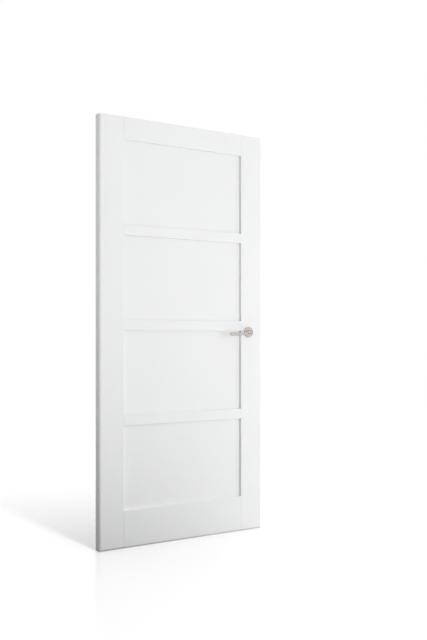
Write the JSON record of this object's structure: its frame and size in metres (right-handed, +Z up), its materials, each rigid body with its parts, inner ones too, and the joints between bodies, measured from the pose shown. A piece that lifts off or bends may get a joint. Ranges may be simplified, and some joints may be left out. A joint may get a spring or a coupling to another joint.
{
  "type": "interior door leaf",
  "caption": "White stile-and-rail interior door leaf with flat recessed panels, a mortice latch and a lever handle on a round rose on each face.",
  "frame": {"origin": "middle of the hinge edge, at mid height and mid thickness of the leaf", "axes": "+X from the hinge edge to the lock edge, +Y from the front face to the back face, +Z up"},
  "size_m": [0.942, 0.144, 2.015],
  "materials": {
    "white_lacquer": "white satin lacquer on wood",
    "beech": "bare beech",
    "satin_nickel": "satin nickel plate",
    "zinc_steel": "zinc plated steel",
    "nylon": "moulded nylon"
  },
  "bodies": {
    "leaf": {"hinge_stile": "white_lacquer", "lock_stile": "white_lacquer", "top_rail": "white_lacquer", "upper_mid_rail": "white_lacquer", "centre_mid_rail": "white_lacquer", "lower_mid_rail": "white_lacquer", "bottom_rail": "white_lacquer", "top_panel": "white_lacquer", "upper_panel": "white_lacquer", "lower_panel": "white_lacquer", "bottom_panel": "white_lacquer", "dowels": "beech", "lock_case": "zinc_steel", "case_cover": "zinc_steel", "case_screws": "zinc_steel", "forend_plate": "satin_nickel", "forend_screws": "satin_nickel", "latch_spring": "zinc_steel", "front_rose_plate": "nylon", "front_rose_screws": "zinc_steel", "front_rose_cover": "satin_nickel", "back_rose_plate": "nylon", "back_rose_screws": "zinc_steel", "back_rose_cover": "satin_nickel"},
    "handle": {"follower": "zinc_steel", "spindle": "zinc_steel", "front_lever": "satin_nickel", "front_grub_screw": "zinc_steel", "front_clip": "zinc_steel", "back_lever": "satin_nickel", "back_grub_screw": "zinc_steel", "back_clip": "zinc_steel"},
    "latch": {"latch_bolt": "satin_nickel"}
  },
  "joints": [
    {"name": "handle_turn", "type": "hinge", "parent": "leaf", "child": "handle", "pos_m": [0.846, 0, 0.0025], "axis": [0, -1, 0], "range_deg": [0, 40], "stiffness_Nm_per_rad": 2, "springref_deg": -28.65},
    {"name": "latch_slide", "type": "slide", "parent": "leaf", "child": "latch", "axis": [1, 0, 0], "range_m": [-0.0132, 0], "deforming": ["latch_spring"]}
  ],
  "couplings": [
    {"joint": "latch_slide", "follows": "handle_turn", "m_per_rad": -0.0189}
  ]
}
